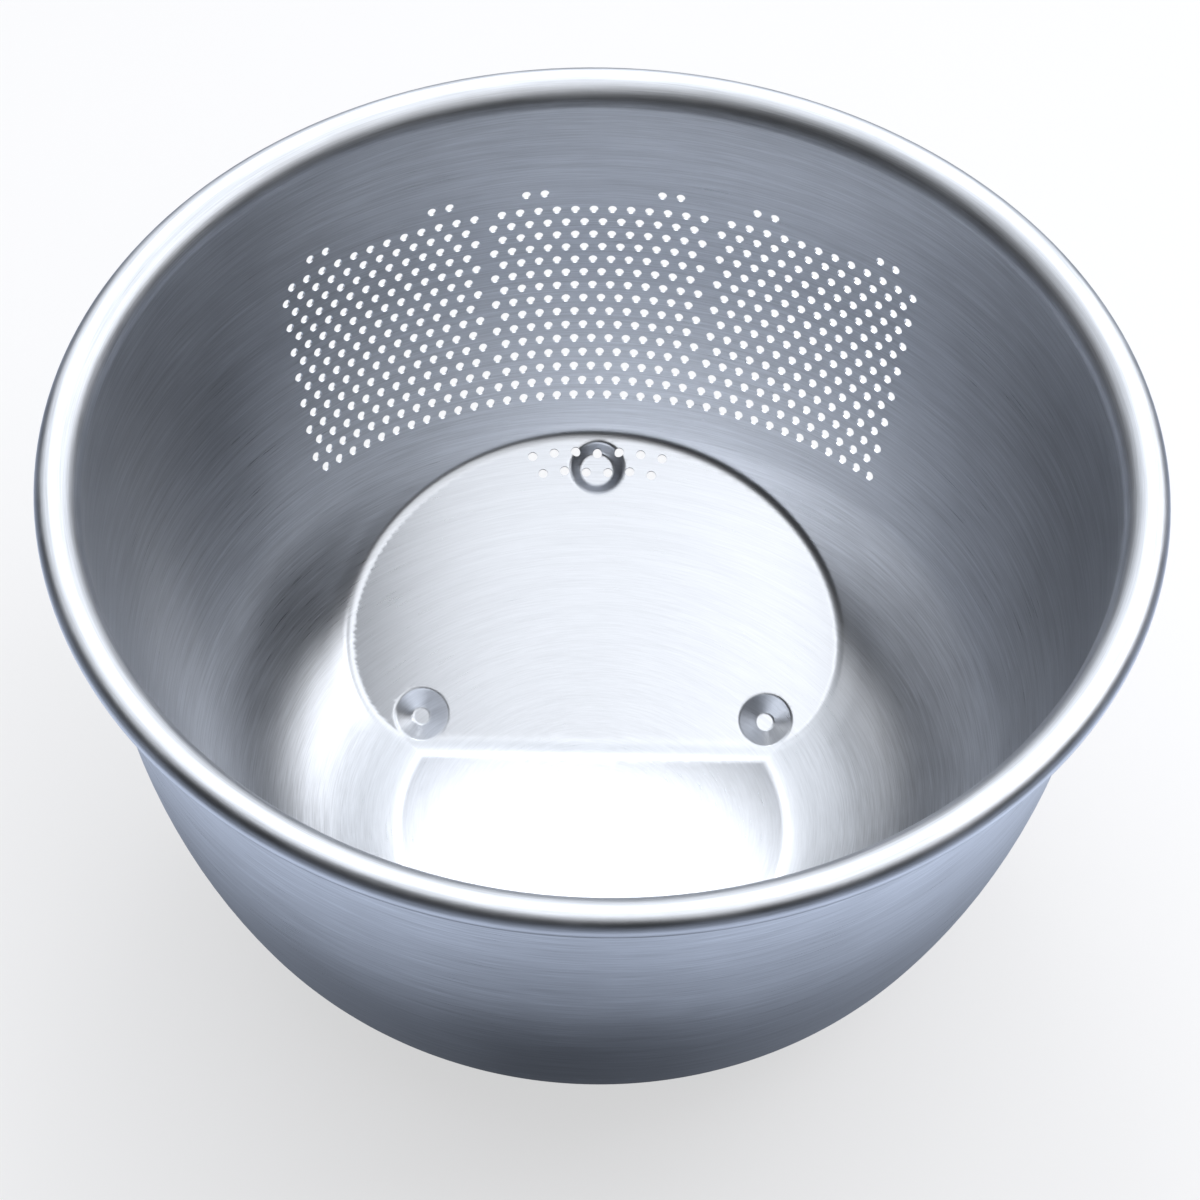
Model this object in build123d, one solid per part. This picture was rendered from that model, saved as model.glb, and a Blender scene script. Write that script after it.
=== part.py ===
"""Tilting rice-washing bowl: one pressed stainless sheet with a wired, rolled rim.

The bowl stands level on a small round base, or leans back on a second flat that
carries three pressed feet and drain holes.  The axis is Z, the base rests on z = 0,
the drain flat and the perforated wall are on the +Y side.
"""
import os
from math import asin, cos, degrees, hypot, radians, sin, sqrt

from build123d import *

os.makedirs("parts", exist_ok=True)

# Sheet and overall size
sheet = 0.5
rim_diameter = 240.0
height = 130.1

# Rolled rim: an easy roll out of the wall, then a tight curl round the wire
roll_radius = 6.5
curl_radius = 3.3
curl_turn = 235.0
wire_gap = 0.05

# Wall inside, from the rim down: radius and end angle from upright of each arc;
# the last one runs on until it meets the flat base
wall_lean = 3.0
wall_arcs = [(467.0, 8.3), (182.0, 23.0), (59.0, 90.0)]

# Drain flat: leans back from a fold line across the base
drain_tilt = 25.2
fold_from_axis = 22.1

# Feet: dimples pressed out of the drain flat, placed from the middle of the fold line
foot_depth = 2.4
foot_mouth = 12.6
back_foot_reach = 69.2
front_foot_reach = 8.0
front_foot_side = 40.6
back_foot_floor = 8.2
front_foot_floor = 4.2

# Drain holes round the back foot: two arcs about the middle of the fold line
drain_hole = 2.2
drain_pitch = 5.2
drain_rows = [(73.2, 7), (68.6, 6)]

# Perforated wall: three punched panels side by side
wall_hole = 2.1
panels = 3
panel_step = 28.55
panel_columns = 12
panel_rows = 15
top_row_depth = 35.5
row_drop = 3.67
pitch_top = 4.29
pitch_bottom = 3.99
extra_row_rise = 1.37
extra_row_places = (-4.17, -3.17, 3.17, 4.17)

# Worked out from the above
roll_centre = Vector(rim_diameter / 2 - curl_radius, height - roll_radius)
lean = radians(wall_lean)
wall_top = roll_centre + Vector(-cos(lean), sin(lean)) * roll_radius
wall_square = Vector(cos(lean), -sin(lean))
tilt = radians(drain_tilt)
tool_reach = 3 * sheet


def arc_to(start, heading, radius, turn):
    """One arc of the section: start (r, z), heading and turn in degrees, left turns positive."""
    side = 1 if turn > 0 else -1
    h = radians(heading)
    centre = start + Vector(-sin(h), cos(h)) * radius * side
    spoke = start - centre
    middle = centre + spoke.rotate(Axis.Z, turn / 2)
    end = centre + spoke.rotate(Axis.Z, turn)
    return ThreePointArc(start, middle, end), end


def wall_chain(offset):
    """Arcs of the wall from the rim down to the base, moved outwards by offset."""
    base = sheet - offset
    angle = wall_lean
    point = wall_top + wall_square * offset
    edges = []
    for radius, end_angle in wall_arcs:
        radius += offset
        drop_to_level = point.Y - base + radius * sin(radians(angle))
        if drop_to_level < radius * sin(radians(end_angle)):
            end_angle = degrees(asin(drop_to_level / radius))
        edge, point = arc_to(point, -90.0 - angle, radius, angle - end_angle)
        edges.append(edge)
        angle = end_angle
    return edges, point


def bowl_solid(offset):
    """Solid of revolution below the roll, bounded by the wall face at this offset."""
    edges, last = wall_chain(offset)
    above = Vector(wall_top.X, wall_top.Y if offset else height)
    edges += Polyline(last, Vector(0, last.Y), Vector(0, above.Y), above).edges()
    edges.append(Line(wall_top, wall_top + wall_square * offset) if offset else Line(above, wall_top))
    return revolve(Plane.XZ * make_face(edges), Axis.Z)


def fold_plane(offset):
    """Plane of the drain flat's inner face, moved outwards by offset; its X is the bowl's X."""
    normal = Vector(0, -sin(tilt), cos(tilt))
    origin = Vector(0, fold_from_axis, sheet) - normal * offset
    return Plane(origin=origin, x_dir=(1, 0, 0), z_dir=normal)


def foot_places():
    """Foot centres in the fold plane, with the width of each foot's floor."""
    return [
        (0.0, back_foot_reach, back_foot_floor),
        (-front_foot_side, front_foot_reach, front_foot_floor),
        (front_foot_side, front_foot_reach, front_foot_floor),
    ]


def pressed_form(offset):
    """Bowl solid with the base and the drain flat pressed in and the feet pushed out."""
    plane = fold_plane(offset)
    form = split(bowl_solid(offset), plane, keep=Keep.TOP)
    for x, y, floor in foot_places():
        draft = (foot_mouth - floor) / 2
        wider = offset * (hypot(foot_depth, draft) - draft) / foot_depth
        form += loft([
            plane * Pos(x, y, 0) * Circle(foot_mouth / 2 + wider),
            plane * Pos(x, y, -foot_depth) * Circle(floor / 2 + wider),
        ])
    return form


def rim_section():
    """Section of the sheet in the roll and the curl."""
    rings = []
    for offset in (0.0, sheet):
        heading = 90.0 - wall_lean
        point = wall_top + wall_square * offset
        edges = []
        for radius, turn in ((roll_radius, heading), (curl_radius, curl_turn)):
            edge, point = arc_to(point, heading, radius - offset, -turn)
            edges.append(edge)
            heading -= turn
        rings.append((edges, point))
    (face_edges, face_end), (back_edges, back_end) = rings
    ends = [Line(face_edges[0] @ 0, back_edges[0] @ 0), Line(face_end, back_end)]
    return make_face(face_edges + back_edges + ends)


def wall_radius(z):
    """Inner wall radius at a height, walking down the arcs."""
    angle = wall_lean
    point = wall_top
    for radius, end_angle in wall_arcs:
        centre = point + Vector(-cos(radians(angle)), sin(radians(angle))) * radius
        _, point = arc_to(point, -90.0 - angle, radius, angle - end_angle)
        if point.Y <= z:
            break
        angle = end_angle
    return centre.X + sqrt(radius ** 2 - (z - centre.Y) ** 2)


def wall_hole_places():
    """Angle from +Y in degrees and height of every hole in the wall."""
    places = []
    for panel in range(panels):
        middle = (panel - (panels - 1) / 2) * panel_step
        for row in range(panel_rows):
            z = height - top_row_depth - row * row_drop
            share = row / (panel_rows - 1)
            pitch = pitch_top + (pitch_bottom - pitch_top) * share
            shift = (panel_columns - 1) / 2 + 0.5 * (row % 2)
            step = degrees(pitch / wall_radius(z))
            places += [(middle + (i - shift) * step, z) for i in range(panel_columns)]
        z = height - top_row_depth + extra_row_rise * row_drop
        step = degrees(pitch_top / wall_radius(z))
        places += [(middle + i * step, z) for i in extra_row_places]
    return places


def wall_hole_tools():
    """Pins that punch the wall straight out from the axis."""
    pin = Cylinder(wall_hole / 2, 2 * tool_reach)
    return [
        Rot(0, 0, -angle) * Pos(0, wall_radius(z), z) * Rot(90, 0, 0) * pin
        for angle, z in wall_hole_places()
    ]


def drain_hole_tools():
    """Pins that punch the drain flat square to its face, through the back foot as well."""
    length = 2 * (foot_depth + tool_reach)
    pin = Cylinder(drain_hole / 2, length)
    tools = []
    for reach, count in drain_rows:
        for i in range(count):
            angle = (i - (count - 1) / 2) * drain_pitch / reach
            place = fold_plane(0) * Pos(reach * sin(angle), reach * cos(angle), 0)
            tools.append(place * pin)
    return tools


def build_shell():
    shell = pressed_form(sheet) - pressed_form(0.0)
    shell += revolve(Plane.XZ * rim_section(), Axis.Z)
    return shell - (wall_hole_tools() + drain_hole_tools())


def build_wire():
    radius = curl_radius - sheet - wire_gap
    section = Plane.XZ * Pos(roll_centre.X, height - curl_radius) * Circle(radius)
    return revolve(section, Axis.Z)


bowl_shell = build_shell()
rim_wire = build_wire()
for name, solid in (("bowl_shell", bowl_shell), ("rim_wire", rim_wire)):
    solid.label = name
    export_step(solid, f"parts/{name}.step")
    box = solid.bounding_box()
    print(name, len(solid.solids()), "solid", round(solid.volume), "mm3", box)
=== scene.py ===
"""Looks of the tilting rice-washing bowl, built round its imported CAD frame.

The pressed sheet is rebuilt as one smooth shell: a distance field gives the inner
face with its soft bends, the same field 0.5 mm further out gives the outer face, and
every hole is punched through both.  Lengths are in millimetres until the mesh is made.
"""

from math import asin, cos, degrees, pi, radians, sin, sqrt

import bmesh
import bpy
import numpy as np
from mathutils import Matrix, Vector


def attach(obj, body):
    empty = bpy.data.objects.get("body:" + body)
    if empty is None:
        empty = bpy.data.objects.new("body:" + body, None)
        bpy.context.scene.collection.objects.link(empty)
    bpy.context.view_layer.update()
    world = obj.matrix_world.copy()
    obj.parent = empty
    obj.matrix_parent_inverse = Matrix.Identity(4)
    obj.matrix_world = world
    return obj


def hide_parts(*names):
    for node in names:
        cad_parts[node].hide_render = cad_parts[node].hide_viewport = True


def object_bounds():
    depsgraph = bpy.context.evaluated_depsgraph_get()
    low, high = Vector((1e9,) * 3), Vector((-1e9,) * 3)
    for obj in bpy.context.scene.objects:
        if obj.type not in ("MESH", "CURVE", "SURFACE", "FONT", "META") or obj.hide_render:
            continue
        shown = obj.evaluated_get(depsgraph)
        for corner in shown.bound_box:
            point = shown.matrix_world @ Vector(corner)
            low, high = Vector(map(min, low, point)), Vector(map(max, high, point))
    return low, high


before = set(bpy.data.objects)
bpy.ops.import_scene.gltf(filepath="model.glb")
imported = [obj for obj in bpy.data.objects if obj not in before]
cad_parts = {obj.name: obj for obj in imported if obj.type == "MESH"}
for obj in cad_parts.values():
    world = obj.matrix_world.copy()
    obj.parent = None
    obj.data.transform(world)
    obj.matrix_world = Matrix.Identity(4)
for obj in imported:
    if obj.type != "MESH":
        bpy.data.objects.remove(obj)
cad_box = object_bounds()
MM = 0.001

# ---------------------------------------------------------------- driving sizes, mm
sheet = 0.5
rim_radius = (cad_box[1].x - cad_box[0].x) / 2 / MM
height = (cad_box[1].z - cad_box[0].z) / MM
roll_radius = 6.5
curl_radius = 3.3
curl_turn = 235.0
wall_lean = 3.0
wall_arcs = [(467.0, 8.3), (182.0, 23.0), (59.0, 90.0)]
drain_tilt = radians(25.2)
fold_from_axis = 22.1
foot_depth = 2.4
foot_mouth = 12.6
feet = [(0.0, 69.2, 8.2), (-40.6, 8.0, 4.2), (40.6, 8.0, 4.2)]
drain_hole = 2.2
drain_pitch = 5.2
drain_rows = [(73.2, 7), (68.6, 6)]
wall_hole = 2.1
panels = 3
panel_step = 28.55
panel_columns = 12
panel_rows = 15
top_row_depth = 35.5
row_drop = 3.67
pitch_top = 4.29
pitch_bottom = 3.99
extra_row_rise = 1.37
extra_row_places = (-4.17, -3.17, 3.17, 4.17)

# Bending radii of the pressed sheet, inside face
flat_bend = 5.5
fold_bend = 14.0
base_bend = 10.0
foot_lip_bend = 1.7
foot_floor_bend = 1.3

# Mesh density
columns = 180
row_length = 4.0
largest_sagitta = 0.02
refinements = 4
roll_steps = 12
curl_steps = 30
hole_sides = 16
wall_punch_reach = 4.0
drain_punch_reach = 5.0

# Rays from the eye find the sheet's faces: careful steps first, then exact ones
eye = np.array([0.0, 0.0, 100.0])
first_reach = 20.0
careful_steps, exact_steps = 60, 10

# The flats are slightly crowned: their shading leans out by this much at the edges
flat_crown = radians(6.0)
drain_half_width = 57.0

# Steel: how far each pattern moves the colour and the roughness
line_shade, band_shade, cloud_shade = 0.14, 0.07, 0.06
scratch_shade, flat_shade = 0.10, 0.10
line_roughness, cloud_roughness = 0.05, 0.02
flat_roughness, rim_roughness = 0.03, 0.15
wall_anisotropy, flat_anisotropy, rim_anisotropy_loss = 0.8, 0.3, 0.375
flat_calm = 0.4
relief_height = 2e-5
rim_zone = ((height - 16) * MM, (height - 4) * MM)

# Floor, metres: half size, what the camera sees, and the painted reflection the steel sees: a
# painted shadow near the bowl, painted light to both sides and the right, and painted shade far
# off
floor_half = 6.0
floor_glow, floor_matt = 0.62, (0.30, 0.30, 0.31, 1.0)
painted_reflection_tint = (0.72, 0.80, 0.96)
painted_shadow_zone, painted_shadow_levels = (0.10, 0.205), (0.11, 1.15)
painted_side_light_zone, painted_side_light_gain = (0.02, 0.20), 0.45
painted_right_light_reach, painted_right_light_gain = 0.25, 0.3
painted_far_shade_zone, painted_far_shade_level = (0.22, 0.36), 0.25

# Studio: the direction that is bright, and the brightness on either side of it
bright_side = (0.05, 0.75, 0.9)
dim_below, bright_above = 0.42, 0.95
dim_level, bright_level = 0.02, 1.9
studio_tint = (0.95, 0.975, 1.0, 1.0)

# Soft boxes: place and aim in metres, width, depth, power in watts
soft_boxes = {
    "soft_box_top": ((0.30, -0.45, 1.35), (0, 0.03, 0), 0.75, 1.1, 4.3),
    "soft_box_back": ((0.0, 0.95, 1.16), (0, 0.03, 0), 0.25, 0.7, 2.5),
    "soft_box_right": ((1.08, 0.29, 1.0), (0, 0, 0), 0.9, 0.7, 6.5),
    "soft_box_left": ((-1.08, 0.29, 1.0), (0, 0, 0), 0.5, 0.4, 0.8),
}

# Camera: a long lens above the front edge
camera_place = Vector((-0.0110, -0.6434, 0.8707))
camera_aim = Vector((0.0005, 0.0, 0.0834))
camera_roll = radians(1.797)
camera_lens = 139.4
camera_shift = -0.00125

# Worked out from the above
lean = radians(wall_lean)
roll_centre = np.array([rim_radius - curl_radius, height - roll_radius])
curl_centre = np.array([rim_radius - curl_radius, height - curl_radius])
wall_top = roll_centre + roll_radius * np.array([-cos(lean), sin(lean)])


# ---------------------------------------------------------------- the distance field
def arc_centres():
    """Centre (r, z), radius and end angle of each wall arc, from the rim down."""
    arcs = []
    point, angle = wall_top, wall_lean
    for radius, end in wall_arcs:
        a, b = radians(angle), radians(end)
        centre = point - radius * np.array([cos(a), -sin(a)])
        point = centre + radius * np.array([cos(b), -sin(b)])
        arcs.append((centre, radius, b))
        angle = end
    return arcs


ARCS = arc_centres()
DRAIN_UP = np.array([0.0, -sin(drain_tilt), cos(drain_tilt)])
DRAIN_BACK = np.array([0.0, cos(drain_tilt), sin(drain_tilt)])
FOLD = np.array([0.0, fold_from_axis, sheet])


def on_drain(x, y):
    """A point of the drain flat's inner face, x across and y back from the fold line."""
    return FOLD + np.array([x, 0.0, 0.0]) + DRAIN_BACK * y


def plane_field(p, origin, normal):
    """Distance beyond a plane and its direction, for every point."""
    return (p - origin) @ normal, np.broadcast_to(normal, p.shape)


def wall_field(p):
    """Distance outside the wall's surface of revolution."""
    r = np.hypot(p[:, 0], p[:, 1])
    z = p[:, 2]
    distance = np.zeros(len(p))
    n_r = np.ones(len(p))
    n_z = np.zeros(len(p))
    below = np.ones(len(p), bool)
    for centre, radius, end in ARCS:
        v_r, v_z = np.maximum(r - centre[0], 0.0), z - centre[1]
        length = np.maximum(np.hypot(v_r, v_z), 1e-9)
        distance[below] = (length - radius)[below]
        n_r[below] = (v_r / length)[below]
        n_z[below] = (v_z / length)[below]
        below = below & (np.arctan2(-v_z, v_r) > end)
    safe = np.maximum(r, 1e-9)
    normal = np.stack([n_r * p[:, 0] / safe, n_r * p[:, 1] / safe, n_z], 1)
    return distance, normal


def bent_together(a, b, bend):
    """Inside of both faces, with the edge between them rolled to a radius."""
    (da, na), (db, nb) = a, b
    c = (na * nb).sum(1)
    s2 = np.maximum(1 - c * c, 1e-6)
    ra, rb = da + bend, db + bend
    wa, wb = (ra - rb * c) / s2, (rb - ra * c) / s2
    v = wa[:, None] * na + wb[:, None] * nb
    length = np.maximum(np.linalg.norm(v, axis=1), 1e-9)
    rolled = (wa > 0) & (wb > 0) & (c < 0.9999)
    sharp = np.where((da > db)[:, None], na, nb)
    distance = np.where(rolled, length - bend, np.maximum(da, db))
    normal = np.where(rolled[:, None], v / length[:, None], sharp)
    return distance, normal


def pushed_out(a, b, bend):
    """Inside of either face, with a rolled lip where they meet."""
    d, n = bent_together((-a[0], -a[1]), (-b[0], -b[1]), bend)
    return -d, -n


def foot_field(p, x, y, floor):
    """Distance outside one foot, a short cone with a flat floor, and where it counts."""
    q = p - on_drain(x, y)
    depth = -(q @ DRAIN_UP)
    across = q + depth[:, None] * DRAIN_UP
    u = np.maximum(np.linalg.norm(across, axis=1), 1e-9)
    draft = (foot_mouth - floor) / 2
    slant = sqrt(foot_depth ** 2 + draft ** 2)
    side = ((u - foot_mouth / 2) * foot_depth + depth * draft) / slant
    side_normal = (across / u[:, None] * foot_depth - DRAIN_UP * draft) / slant
    floor_face = (depth - foot_depth, np.broadcast_to(-DRAIN_UP, p.shape))
    near = (u < 1.1 * foot_mouth) & (np.abs(depth) < 2.5 * foot_depth)
    return bent_together((side, side_normal), floor_face, foot_floor_bend), near


def bowl_field(p):
    """Distance outside the bowl's inner face, and its direction."""
    base = plane_field(p, np.array([0.0, 0.0, sheet]), np.array([0.0, 0.0, -1.0]))
    drain = plane_field(p, FOLD, -DRAIN_UP)
    body = bent_together(base, wall_field(p), base_bend)
    lower = bent_together(body, drain, flat_bend)
    folded = bent_together(base, drain, fold_bend)
    deeper = folded[0] > lower[0]
    body = (np.where(deeper, folded[0], lower[0]),
            np.where(deeper[:, None], folded[1], lower[1]))
    for x, y, floor in feet:
        foot, near = foot_field(p, x, y, floor)
        d, n = pushed_out(body, foot, foot_lip_bend)
        body = np.where(near, d, body[0]), np.where(near[:, None], n, body[1])
    return body


def cast(directions, level):
    """Where rays from the eye meet the face that lies `level` outside the inner one."""
    t = np.full(len(directions), first_reach)
    for step in range(careful_steps + exact_steps):
        distance, normal = bowl_field(eye + directions * t[:, None])
        if step < careful_steps:
            t += (level - distance) * 0.9
        else:
            t += (level - distance) / np.maximum((normal * directions).sum(1), 0.2)
    return eye + directions * t[:, None]


# ---------------------------------------------------------------- the smooth shell
def profile_rows(level):
    """Polar angles at the eye of the rows, from the middle of the base to the roll."""
    last_centre, last_radius, _ = ARCS[-1]
    r_base = last_centre[0] + sqrt(last_radius ** 2 - (sheet - last_centre[1]) ** 2)
    points = [(r, sheet) for r in np.arange(row_length, r_base, row_length)]
    walk = []
    angle = lean
    for centre, radius, end in ARCS:
        if centre is last_centre:
            end = asin((centre[1] - sheet) / radius)
        steps = max(2, round(radius * (end - angle) / row_length))
        for i in range(steps):
            a = angle + (end - angle) * i / steps
            walk.append((centre[0] + radius * cos(a), centre[1] - radius * sin(a)))
        angle = end
    points += walk[::-1]
    rows = [np.arctan2(r, eye[2] - z) for r, z in points]
    top = wall_top + level * np.array([cos(lean), -sin(lean)])
    stretch = np.arctan2(top[0], eye[2] - top[1]) / rows[-1]
    return [a * stretch for a in rows]


def ring(r, z):
    """Points of one horizontal circle."""
    a = np.arange(columns) * 2 * pi / columns + pi / 2
    return np.stack([r * np.cos(a), r * np.sin(a), np.full(columns, z)], 1)


def needs_split(edge, normals):
    """True if a chord leaves the curved face by more than the largest sagitta."""
    if edge.is_boundary:
        return False
    a, b = edge.verts
    turn = normals[a.index] @ normals[b.index]
    turn = np.arccos(np.clip(turn, -1, 1))
    return edge.calc_length() * turn / 8 > largest_sagitta


def field_sheet(level):
    """One face of the sheet below the roll, its cells split where it bends."""
    rows = profile_rows(level)
    rays = [np.array([[0.0, 0.0, -1.0]])]
    for angle in rows:
        rays.append(ring(sin(angle), -cos(angle)))
    points = cast(np.concatenate(rays), level)
    bm = bmesh.new()
    verts = [bm.verts.new(p) for p in points]
    for j in range(columns):
        k = (j + 1) % columns
        bm.faces.new((verts[0], verts[1 + j], verts[1 + k]))
        for i in range(len(rows) - 1):
            low, high = 1 + i * columns, 1 + (i + 1) * columns
            bm.faces.new((verts[low + j], verts[high + j], verts[high + k], verts[low + k]))
    for _ in range(refinements):
        bm.verts.index_update()
        points = np.array([v.co for v in bm.verts])
        normals = bowl_field(points)[1]
        bent = {f for e in bm.edges if needs_split(e, normals) for f in e.link_faces}
        edges = list({e for f in bent for e in f.edges if not e.is_boundary})
        if not edges:
            break
        old = len(bm.verts)
        bmesh.ops.subdivide_edges(bm, edges=edges, cuts=1, use_grid_fill=True)
        bm.verts.ensure_lookup_table()
        fresh = bm.verts[old:]
        rays = np.array([v.co for v in fresh]) - eye
        rays /= np.linalg.norm(rays, axis=1)[:, None]
        for v, p in zip(fresh, cast(rays, level)):
            v.co = p
    return bm


def rim_profile():
    """Section of the roll and the curl, from the inner wall round to the outer wall."""
    lines = []
    for offset in (0.0, sheet):
        line = []
        a0, a1 = pi - lean, pi / 2
        for i in range(roll_steps):
            a = a0 + (a1 - a0) * i / roll_steps
            line.append(roll_centre + (roll_radius - offset) * np.array([cos(a), sin(a)]))
        turn = radians(curl_turn)
        for i in range(curl_steps + 1):
            a = pi / 2 - turn * i / curl_steps
            line.append(curl_centre + (curl_radius - offset) * np.array([cos(a), sin(a)]))
        lines.append(line)
    return lines[0] + lines[1][::-1]


def shell_mesh():
    """Inner face, rim and outer face as one closed mesh."""
    bm = field_sheet(0.0)
    outer = field_sheet(sheet)
    bmesh.ops.reverse_faces(outer, faces=outer.faces[:])
    scratch = bpy.data.meshes.new("scratch")
    outer.to_mesh(scratch)
    bm.from_mesh(scratch)
    outer.free()
    rings = [[bm.verts.new(p) for p in ring(r, z)] for r, z in rim_profile()]
    for low, high in zip(rings, rings[1:]):
        for j in range(columns):
            k = (j + 1) % columns
            bm.faces.new((low[j], high[j], high[k], low[k]))
    bmesh.ops.remove_doubles(bm, verts=bm.verts[:], dist=1e-3)
    bmesh.ops.recalc_face_normals(bm, faces=bm.faces[:])
    bmesh.ops.scale(bm, vec=(MM, MM, MM), verts=bm.verts[:])
    bm.to_mesh(scratch)
    bm.free()
    return scratch


# ---------------------------------------------------------------- the holes
def wall_radius(z):
    """Inner wall radius at a height."""
    for centre, radius, end in ARCS:
        r = centre[0] + sqrt(radius ** 2 - (z - centre[1]) ** 2)
        if asin((centre[1] - z) / radius) <= end:
            return r
    return r


def wall_hole_axes():
    """Start point and direction of every hole in the wall."""
    places = []
    for panel in range(panels):
        middle = (panel - (panels - 1) / 2) * panel_step
        for row in range(panel_rows):
            z = height - top_row_depth - row * row_drop
            pitch = pitch_top + (pitch_bottom - pitch_top) * row / (panel_rows - 1)
            shift = (panel_columns - 1) / 2 + 0.5 * (row % 2)
            step = degrees(pitch / wall_radius(z))
            places += [(middle + (i - shift) * step, z) for i in range(panel_columns)]
        z = height - top_row_depth + extra_row_rise * row_drop
        step = degrees(pitch_top / wall_radius(z))
        places += [(middle + i * step, z) for i in extra_row_places]
    for angle, z in places:
        out = np.array([sin(radians(angle)), cos(radians(angle)), 0.0])
        yield out * wall_radius(z) + np.array([0.0, 0.0, z]), out


def drain_hole_axes():
    """Start point and direction of every hole in the drain flat."""
    for reach, count in drain_rows:
        for i in range(count):
            angle = (i - (count - 1) / 2) * drain_pitch / reach
            yield on_drain(reach * sin(angle), reach * cos(angle)), -DRAIN_UP


def punches():
    """All the punches as one mesh of separate pins."""
    bm = bmesh.new()
    kinds = (
        (wall_hole_axes(), wall_hole, wall_punch_reach),
        (drain_hole_axes(), drain_hole, drain_punch_reach),
    )
    for axes, width, reach in kinds:
        for start, out in axes:
            turn = Vector(out).to_track_quat("Z", "Y").to_matrix().to_4x4()
            place = Matrix.Translation(Vector(start) * MM) @ turn
            bmesh.ops.create_cone(
                bm, cap_ends=True, segments=hole_sides, matrix=place,
                radius1=width / 2 * MM, radius2=width / 2 * MM, depth=2 * reach * MM)
    mesh = bpy.data.meshes.new("punches")
    bm.to_mesh(mesh)
    bm.free()
    return bpy.data.objects.new("punches", mesh)


def punched(mesh):
    """The shell with every hole cut through it."""
    blank = bpy.data.objects.new("blank", mesh)
    pins = punches()
    for o in (blank, pins):
        bpy.context.scene.collection.objects.link(o)
    cut = blank.modifiers.new("punch", "BOOLEAN")
    cut.operation = "DIFFERENCE"
    cut.solver = "MANIFOLD"
    cut.object = pins
    evaluated = blank.evaluated_get(bpy.context.evaluated_depsgraph_get())
    result = bpy.data.meshes.new_from_object(evaluated)
    for o in (blank, pins):
        bpy.data.objects.remove(o)
    return result


# ---------------------------------------------------------------- exact normals
def true_normals(p):
    """Direction of the sheet's face at each point, whichever side it is on."""
    normal = bowl_field(p)[1].copy()
    r = np.maximum(np.hypot(p[:, 0], p[:, 1]), 1e-9)
    on_flat = (normal @ DRAIN_UP < -0.9998) | (normal[:, 2] < -0.9998)
    normal[on_flat, 0] -= flat_crown * (p[on_flat, 0] / drain_half_width) ** 3
    normal /= np.linalg.norm(normal, axis=1)[:, None]
    flat = np.stack([r, p[:, 2]], 1)
    # The roll and the curl lie outside the field, so they take their own circles
    rim = p[:, 2] > wall_top[1] + 0.05
    rim |= (r > wall_top[0] + 1.6) & (p[:, 2] > height - 9)
    roll = rim & (np.linalg.norm(flat - roll_centre, axis=1) > 5.0) & (r < roll_centre[0])
    for mask, centre in ((roll, roll_centre), (rim & ~roll, curl_centre)):
        v = flat - centre
        v /= np.maximum(np.linalg.norm(v, axis=1), 1e-9)[:, None]
        whole = np.stack([v[:, 0] * p[:, 0] / r, v[:, 0] * p[:, 1] / r, v[:, 1]], 1)
        normal[mask] = whole[mask]
    return normal


def set_true_normals(mesh):
    """Shades the faces of the sheet by their exact direction, and cut edges flat."""
    count = len(mesh.loops)
    co = np.empty(len(mesh.vertices) * 3)
    mesh.vertices.foreach_get("co", co)
    vertex = np.empty(count, int)
    mesh.loops.foreach_get("vertex_index", vertex)
    sizes = np.empty(len(mesh.polygons), int)
    mesh.polygons.foreach_get("loop_total", sizes)
    face_normal = np.empty(len(mesh.polygons) * 3)
    mesh.polygons.foreach_get("normal", face_normal)
    facing = np.repeat(face_normal.reshape(-1, 3), sizes, axis=0)
    smooth = true_normals(co.reshape(-1, 3) / MM)[vertex]
    agree = (smooth * facing).sum(1)
    smooth *= np.sign(agree)[:, None]
    smooth[np.abs(agree) < 0.8] = facing[np.abs(agree) < 0.8]
    mesh.polygons.foreach_set("use_smooth", np.ones(len(mesh.polygons), bool))
    mesh.normals_split_custom_set(smooth.tolist())


def build_shell():
    """The pressed sheet as a finished object."""
    mesh = punched(shell_mesh())
    mesh.name = "bowl_sheet"
    set_true_normals(mesh)
    shell = bpy.data.objects.new("bowl_sheet", mesh)
    bpy.context.scene.collection.objects.link(shell)
    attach(shell, "root")
    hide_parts("bowl_shell")
    return shell


# ---------------------------------------------------------------- materials
class Nodes:
    """A small helper that adds nodes to a tree and links them in one line."""

    def __init__(self, tree):
        self.tree = tree
        tree.nodes.clear()

    def add(self, kind, inputs=(), **settings):
        node = self.tree.nodes.new("ShaderNode" + kind)
        for key, value in settings.items():
            setattr(node, key, value)
        for key, value in dict(inputs).items():
            if isinstance(value, bpy.types.NodeSocket):
                self.tree.links.new(value, node.inputs[key])
            else:
                node.inputs[key].default_value = value
        return node

    def math(self, operation, a, b=0.0):
        return self.add("Math", {0: a, 1: b}, operation=operation).outputs[0]

    def times(self, a, b):
        return self.math("MULTIPLY", a, b)

    def total(self, first, *others):
        for other in others:
            first = self.math("ADD", first, other)
        return first

    def scaled(self, vector, scale):
        inputs = {0: vector, "Scale": scale}
        return self.add("VectorMath", inputs, operation="SCALE").outputs[0]

    def range(self, value, low, high, to_low, to_high, kind="LINEAR"):
        ends = {"Value": value, "From Min": low, "From Max": high,
                "To Min": to_low, "To Max": to_high}
        return self.add("MapRange", ends, interpolation_type=kind).outputs[0]

    def swing(self, noise, reach):
        """Plus or minus reach, as a noise value goes across its usual range."""
        return self.range(noise, 0.3, 0.7, -reach, reach)

    def noise(self, vector, scale, detail=4.0, roughness=0.5):
        sockets = {"Vector": vector, "Scale": scale, "Detail": detail, "Roughness": roughness}
        return self.add("TexNoise", sockets).outputs["Fac"]


def new_material(name):
    """An empty material, with the helper that fills it."""
    material = bpy.data.materials.new(name)
    material.use_nodes = True
    return material, Nodes(material.node_tree)


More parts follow.
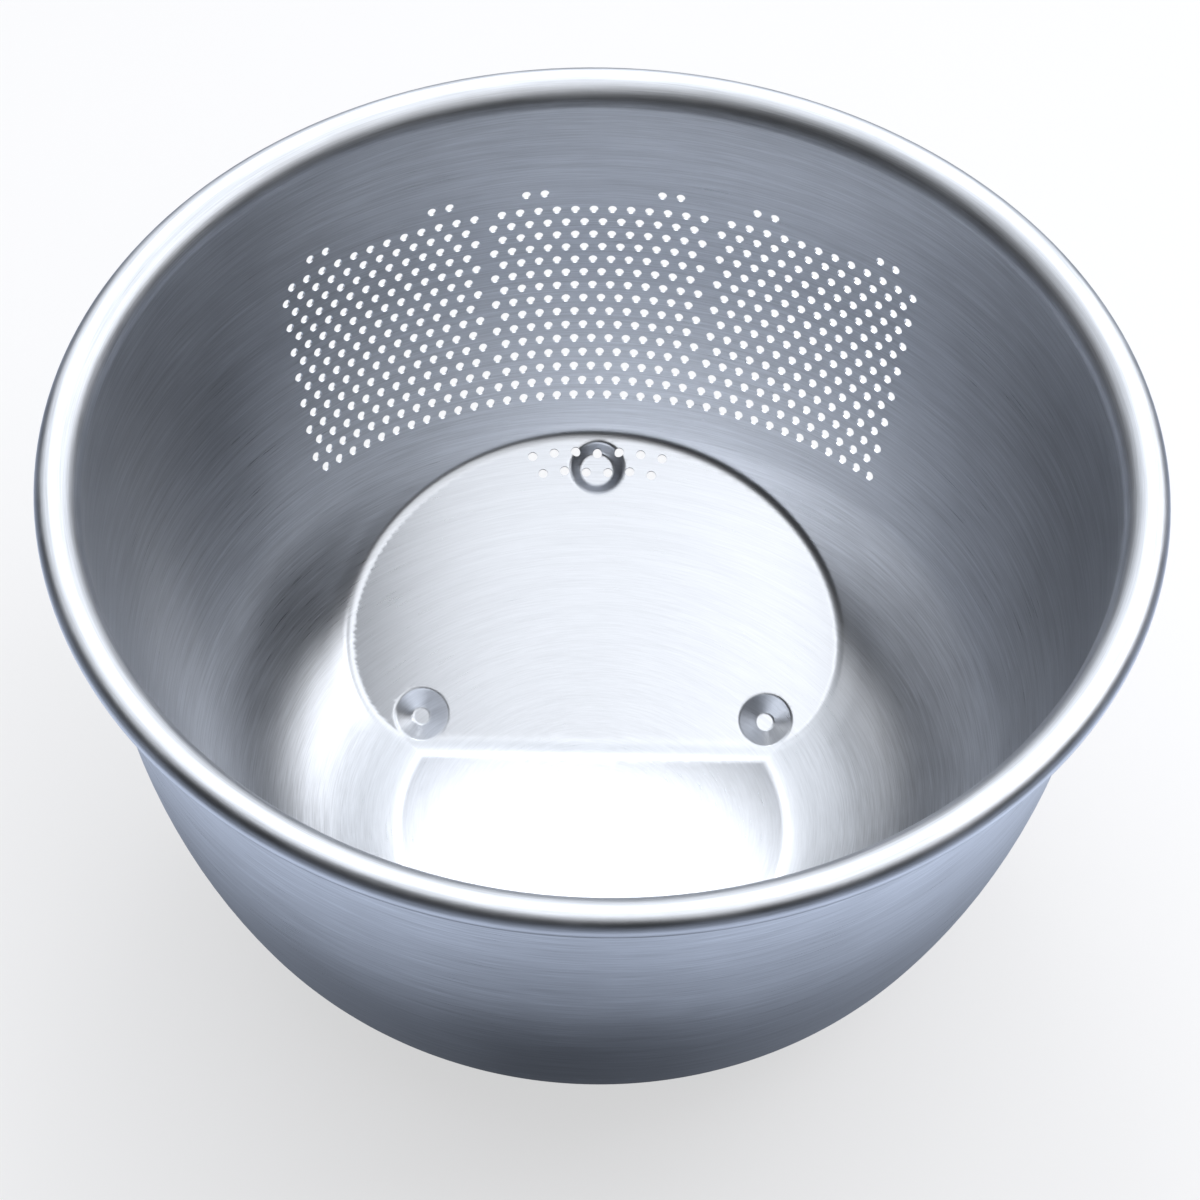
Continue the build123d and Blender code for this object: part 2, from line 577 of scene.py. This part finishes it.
def brushed_steel(name, tint, roughness, streak):
    """Satin steel with fine lines round the axis, drifting sheen and a few scuffs."""
    material, n = new_material(name)
    place = n.add("TexCoord").outputs["Object"]
    x, y, z = n.add("SeparateXYZ", {0: place}).outputs
    r = n.math("SQRT", n.total(n.times(x, x), n.times(y, y)))
    r = n.math("MAXIMUM", r, 1e-5)
    around_x, around_y = n.math("DIVIDE", x, r), n.math("DIVIDE", y, r)
    along = n.total(r, z)

    def lines(turns, fineness, detail):
        """Noise drawn out round the axis and fine along the section."""
        v = n.add("CombineXYZ", {
            0: n.times(around_x, turns), 1: n.times(around_y, turns), 2: n.times(along, fineness)})
        return n.noise(v.outputs[0], 1.0, detail, 0.6)

    # The two flats, from 0 to 1, by the distance from their planes
    above_drain = n.add("VectorMath", {0: place, 1: DRAIN_UP}, operation="DOT_PRODUCT")
    drain_level = float(FOLD @ DRAIN_UP) * MM
    off_drain = n.math("SUBTRACT", above_drain.outputs["Value"], drain_level)
    off_drain = n.math("ABSOLUTE", off_drain)
    on_drain_flat = n.range(off_drain, 0.0006, 0.003, 1.0, 0.0)
    on_base = n.range(z, 0.001, 0.004, 1.0, 0.0)
    flat = n.math("MAXIMUM", on_drain_flat, on_base)
    calm = n.range(flat, 0.0, 1.0, 1.0, flat_calm)
    rim = n.range(z, *rim_zone, 0.0, 1.0)

    fine = lines(7.0, 2600.0, 3.0)
    broad = lines(2.5, 700.0, 3.0)
    scratch = n.range(lines(14.0, 2600.0, 1.0), 0.70, 0.78, 0.0, scratch_shade)
    cloud = n.noise(place, 30.0, 3.0)
    grain = n.noise(place, 2200.0, 1.0)

    shade = n.total(n.swing(fine, line_shade), n.swing(broad, band_shade),
                    n.swing(cloud, cloud_shade), scratch)
    shade = n.math("SUBTRACT", n.times(shade, calm), n.times(flat, flat_shade))
    colour = n.scaled(tint, n.total(shade, 1.0))

    rough = n.total(n.range(fine, 0.25, 0.75, -line_roughness, line_roughness),
                    n.swing(cloud, cloud_roughness))
    rough = n.total(n.times(rough, calm), roughness, n.times(rim, rim_roughness))
    rough = n.math("SUBTRACT", rough, n.times(flat, flat_roughness))

    anisotropy = n.range(flat, 0.0, 1.0, wall_anisotropy, flat_anisotropy)
    anisotropy = n.math("SUBTRACT", anisotropy, n.times(rim, rim_anisotropy_loss))

    relief = n.total(n.times(fine, streak), n.times(grain, 0.5 * streak))
    bump = n.add("Bump", {"Height": relief, "Strength": 0.3, "Distance": relief_height})
    tangent = n.add("Tangent", direction_type="RADIAL", axis="Z")
    shader = n.add("BsdfPrincipled", {
        "Base Color": colour, "Metallic": 1.0, "Roughness": rough,
        "Normal": bump.outputs[0], "Anisotropic": anisotropy, "Tangent": tangent.outputs[0]})
    n.add("OutputMaterial", {0: shader.outputs[0]})
    return material


def dress(obj, material):
    """Gives a piece one material."""
    obj.data.materials.clear()
    obj.data.materials.append(material)


# ---------------------------------------------------------------- stage, light, camera
def floor_material():
    """White to look at; to the steel a glowing painted reflection, a cool gradient with a painted
    shadow near the bowl, painted light to the sides and the right, and painted shade far off.
    """
    material, n = new_material("pale_floor_painted_reflection")
    place = n.add("TexCoord").outputs["Object"]
    away = n.add("VectorMath", {0: place}, operation="LENGTH").outputs["Value"]
    side = n.add("SeparateXYZ", {0: place}).outputs[0]
    # Painted shadow of the bowl close to it, painted light to both sides and the right, painted
    # shade far off
    near = n.range(away, *painted_shadow_zone, *painted_shadow_levels, "SMOOTHSTEP")
    painted_side_light = n.range(n.math("ABSOLUTE", side), *painted_side_light_zone, 0.0, painted_side_light_gain)
    painted_right_light = n.range(side, 0.0, painted_right_light_reach, 0.0, painted_right_light_gain)
    far = n.range(away, *painted_far_shade_zone, 1.0, painted_far_shade_level)
    painted_reflection_level = n.times(n.total(near, painted_side_light, painted_right_light), far)
    # The steel sees this painted reflection as a glowing floor; the camera sees only the plain
    # white floor
    painted_reflection = n.add("Emission", {"Color": n.scaled(painted_reflection_tint, painted_reflection_level)}).outputs[0]
    glow = n.add("Emission", {"Color": (1.0, 1.0, 1.0, 1.0), "Strength": floor_glow}).outputs[0]
    matt = n.add("BsdfDiffuse", {"Color": floor_matt}).outputs[0]
    plain = n.add("AddShader", {0: glow, 1: matt}).outputs[0]
    seen = n.add("LightPath").outputs["Is Camera Ray"]
    either = n.add("MixShader", {0: seen, 1: painted_reflection, 2: plain}).outputs[0]
    n.add("OutputMaterial", {0: either})
    return material


def build_floor():
    """A wide pale floor under the bowl."""
    bm = bmesh.new()
    bmesh.ops.create_grid(bm, x_segments=1, y_segments=1, size=floor_half)
    mesh = bpy.data.meshes.new("floor")
    bm.to_mesh(mesh)
    bm.free()
    floor = bpy.data.objects.new("floor", mesh)
    floor.location.z = cad_box[0].z
    bpy.context.scene.collection.objects.link(floor)
    dress(floor, floor_material())


def build_world():
    """White to the camera; in reflections bright above and behind, and dim in front."""
    world = bpy.data.worlds.new("studio")
    world.use_nodes = True
    n = Nodes(world.node_tree)
    way = n.add("TexCoord").outputs["Generated"]
    axis = Vector(bright_side).normalized()
    level = n.add("VectorMath", {0: way, 1: axis}, operation="DOT_PRODUCT").outputs["Value"]
    glow = n.range(level, dim_below, bright_above, dim_level, bright_level, "SMOOTHSTEP")
    lit = n.add("Background", {"Color": studio_tint, "Strength": glow}).outputs[0]
    seen = n.add("Background", {"Color": (1.0, 1.0, 1.0, 1.0)}).outputs[0]
    ray = n.add("LightPath").outputs["Is Camera Ray"]
    n.add("OutputWorld", {0: n.add("MixShader", {0: ray, 1: lit, 2: seen}).outputs[0]})
    bpy.context.scene.world = world


def area_light(name, place, aim, width, depth, power):
    """A soft box at place that points to aim."""
    light = bpy.data.lights.new(name, "AREA")
    light.shape = "RECTANGLE"
    light.size, light.size_y = width, depth
    light.energy = power
    obj = bpy.data.objects.new(name, light)
    obj.location = place
    obj.rotation_euler = (Vector(aim) - Vector(place)).to_track_quat("-Z", "Y").to_euler()
    bpy.context.scene.collection.objects.link(obj)


def build_camera():
    """The camera, turned a little about its own axis."""
    camera = bpy.data.cameras.new("camera")
    camera.lens = camera_lens
    camera.sensor_width = 36.0
    camera.shift_x = camera_shift
    obj = bpy.data.objects.new("camera", camera)
    obj.location = camera_place
    towards = (camera_aim - camera_place).to_track_quat("-Z", "Y").to_matrix()
    obj.rotation_euler = (towards @ Matrix.Rotation(camera_roll, 3, "Z")).to_euler()
    bpy.context.scene.collection.objects.link(obj)
    bpy.context.scene.camera = obj


# ---------------------------------------------------------------- the scene
dress(build_shell(), brushed_steel("brushed_sheet", (0.56, 0.58, 0.62), 0.32, 1.6))
dress(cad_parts["rim_wire"], brushed_steel("drawn_wire", (0.45, 0.46, 0.48), 0.38, 0.5))
build_floor()
build_world()
for name, settings in soft_boxes.items():
    area_light(name, *settings)
build_camera()
bpy.context.scene.view_settings.view_transform = "Standard"
